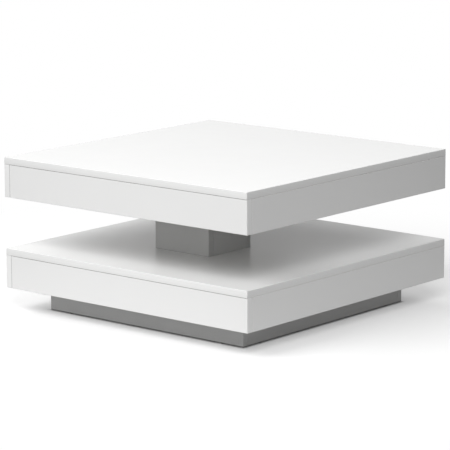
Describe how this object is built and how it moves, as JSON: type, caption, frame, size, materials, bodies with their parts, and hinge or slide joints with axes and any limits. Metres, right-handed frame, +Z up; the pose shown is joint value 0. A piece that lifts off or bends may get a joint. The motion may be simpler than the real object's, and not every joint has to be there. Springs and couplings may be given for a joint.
{
  "type": "swivel coffee table",
  "caption": "Square coffee table with a hollow slab top that turns on a bearing over an off-centre square column, above a slab shelf on a set-back plinth.",
  "frame": {"origin": "on the floor under the middle of the slabs", "axes": "+Z up; -Y is the front, the side nearest the column; the slabs' sides lie along X and Y at rest"},
  "size_m": [0.7, 0.7, 0.35],
  "materials": {
    "white_board": "gloss",
    "white_edging": "gloss",
    "silver_board": "satin",
    "silver_edging": "satin",
    "inner_board": "satin",
    "beech": "matte",
    "zinc_casting": "satin",
    "plated_steel": "satin",
    "ball_steel": "polished",
    "white_plastic": "matte",
    "cage_plastic": "matte",
    "glide_plastic": "matte"
  },
  "bodies": {
    "base": {"column_board_back": "silver_board", "column_board_front": "silver_board", "column_board_left": "silver_board", "column_board_right": "silver_board", "column_cleat_screws": "plated_steel", "column_dowels": "beech", "column_edging": "silver_edging", "column_foot_cleats": "inner_board", "column_foot_screws": "plated_steel", "column_head_board": "inner_board", "lower_apron_back": "white_board", "lower_apron_edging": "white_edging", "lower_apron_front": "white_board", "lower_apron_left": "white_board", "lower_apron_right": "white_board", "lower_bracket_screws": "plated_steel", "lower_cam_bolts": "plated_steel", "lower_cam_housings": "zinc_casting", "lower_corner_brackets": "white_plastic", "lower_dowels": "beech", "lower_panel": "white_board", "lower_panel_edging": "white_edging", "plinth_board_back": "silver_board", "plinth_board_front": "silver_board", "plinth_board_left": "silver_board", "plinth_board_right": "silver_board", "plinth_bracket_screws": "plated_steel", "plinth_corner_brackets": "white_plastic", "plinth_dowels": "beech", "plinth_edging": "silver_edging", "plinth_glides": "glide_plastic", "plinth_rail_back": "inner_board", "plinth_rail_front": "inner_board", "swivel_lower_plate": "plated_steel", "swivel_lower_screws": "plated_steel"},
    "ball_ring": {"swivel_balls": "ball_steel", "swivel_cage": "cage_plastic"},
    "top": {"swivel_upper_plate": "plated_steel", "swivel_upper_screws": "plated_steel", "top_apron_back": "white_board", "top_apron_edging": "white_edging", "top_apron_front": "white_board", "top_apron_left": "white_board", "top_apron_right": "white_board", "top_bracket_screws": "plated_steel", "top_cam_bolts": "plated_steel", "top_cam_housings": "zinc_casting", "top_corner_brackets": "white_plastic", "top_dowels": "beech", "top_panel": "white_board", "top_panel_edging": "white_edging", "top_rail_left": "inner_board", "top_rail_right": "inner_board"}
  },
  "joints": [
    {"name": "top_swivel", "type": "hinge", "parent": "base", "child": "top", "pos_m": [-0.012, -0.068, 0.326], "axis": [0, 0, 1], "continuous": true},
    {"name": "ring_roll", "type": "hinge", "parent": "base", "child": "ball_ring", "pos_m": [-0.012, -0.068, 0.33], "axis": [0, 0, 1], "continuous": true}
  ],
  "couplings": [
    {"joint": "ring_roll", "follows": "top_swivel", "ratio": 0.5}
  ]
}
